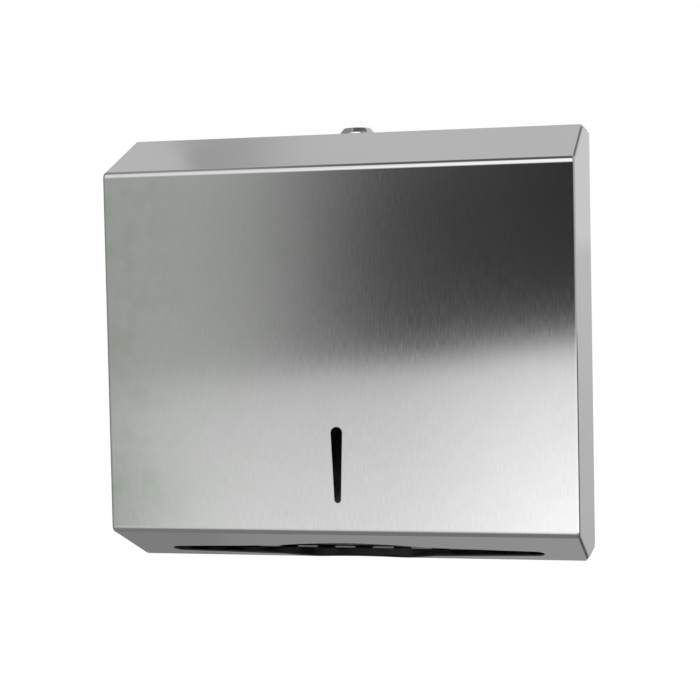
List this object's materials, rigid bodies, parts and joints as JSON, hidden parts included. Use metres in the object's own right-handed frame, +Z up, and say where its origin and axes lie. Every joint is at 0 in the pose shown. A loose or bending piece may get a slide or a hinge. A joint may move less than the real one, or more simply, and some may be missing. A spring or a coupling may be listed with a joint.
{
  "type": "paper towel dispenser",
  "caption": "Wall-mounted stainless dispenser for folded paper towels, with sloped top and bottom, view slot, eye-shaped towel opening, drop-down cover on a piano hinge and top cam lock.",
  "frame": {"origin": "on the wall plane, in the middle of the four wall holes", "axes": "+X to the right as seen from the front, +Y into the wall, +Z up"},
  "size_m": [0.28, 0.1, 0.265],
  "materials": {
    "cover_steel": "vertical hairline brush on the front, smoother on slopes and sides",
    "rear_steel": "dull mill finish",
    "hinge_steel": "rolled, fairly bright",
    "lock_bright": "polished",
    "lock_plated": "satin plate",
    "plug_brass": "nickel-plated brass"
  },
  "bodies": {
    "rear": {"rear_plate": "rear_steel", "strike_bracket": "rear_steel", "towel_rest_left": "rear_steel", "towel_rest_right": "rear_steel", "rear_hinge_leaf": "hinge_steel", "hinge_pin": "hinge_steel"},
    "cover": {"front_cover": "cover_steel", "cover_hinge_leaf": "hinge_steel", "lock_barrel": "lock_plated", "lock_bezel": "lock_bright", "lock_washer": "lock_plated", "lock_nut": "lock_plated"},
    "lock": {"lock_plug": "plug_brass", "lock_wafers": "plug_brass", "stop_washer": "lock_plated", "lock_cam": "lock_plated", "cam_washer": "lock_plated", "cam_screw": "lock_plated"}
  },
  "joints": [
    {"name": "cover_hinge", "type": "hinge", "parent": "rear", "child": "cover", "pos_m": [0, -0.0037, -0.1285], "axis": [1, 0, 0], "range_deg": [0, 90]},
    {"name": "lock_turn", "type": "hinge", "parent": "cover", "child": "lock", "pos_m": [0, -0.028, 0.12], "axis": [0, 0, -1], "range_deg": [0, 90]}
  ]
}
